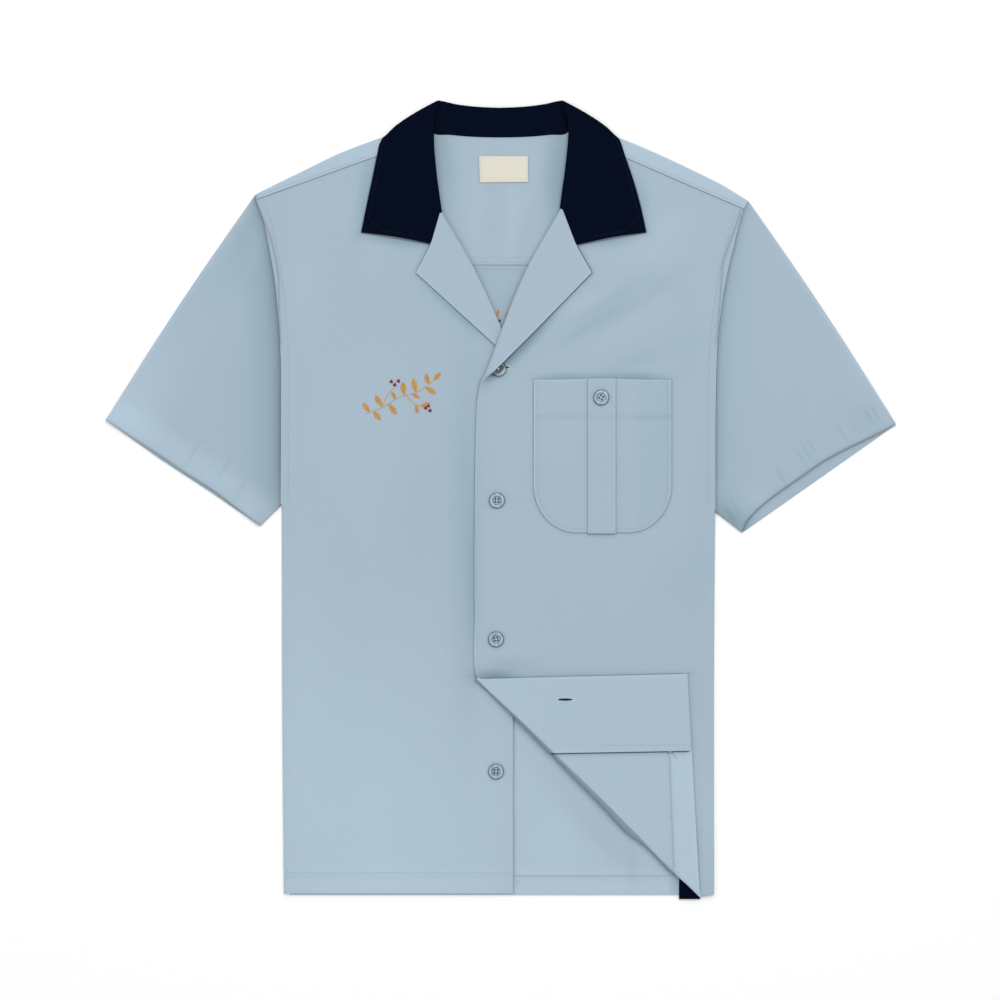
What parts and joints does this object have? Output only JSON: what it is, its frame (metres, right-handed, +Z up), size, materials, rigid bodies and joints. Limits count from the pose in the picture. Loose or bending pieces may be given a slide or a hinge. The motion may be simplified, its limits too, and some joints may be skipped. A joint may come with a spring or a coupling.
{
  "type": "short-sleeved bowling shirt laid flat",
  "caption": "Short-sleeved camp-collar shirt, buttoned and laid flat on its back, with a front hem corner turned up.",
  "frame": {"origin": "the middle of the shirt's outline, on the surface that it lies on", "axes": "+Z up off that surface, +Y from the hem to the collar, +X to the wearer's left"},
  "size_m": [0.7529, 0.7592, 0.0118],
  "materials": {
    "pale_cloth": "matt woven cotton",
    "navy_cloth": "matt woven cotton",
    "label_satin": "woven satin",
    "pearl_plastic": "pearly, glossy"
  },
  "bodies": {
    "root": {"back_body": "pale_cloth", "back_yoke": "pale_cloth", "front_right": "pale_cloth", "front_left": "pale_cloth", "corner_facing": "pale_cloth", "sleeve_right": "pale_cloth", "sleeve_left": "pale_cloth", "pocket_patch": "pale_cloth", "pocket_strip": "pale_cloth", "collar": "navy_cloth", "vent_gusset": "navy_cloth", "label": "label_satin", "button_1": "pearl_plastic", "button_2": "pearl_plastic", "button_3": "pearl_plastic", "button_4": "pearl_plastic", "button_pocket": "pearl_plastic"}
  },
  "joints": []
}
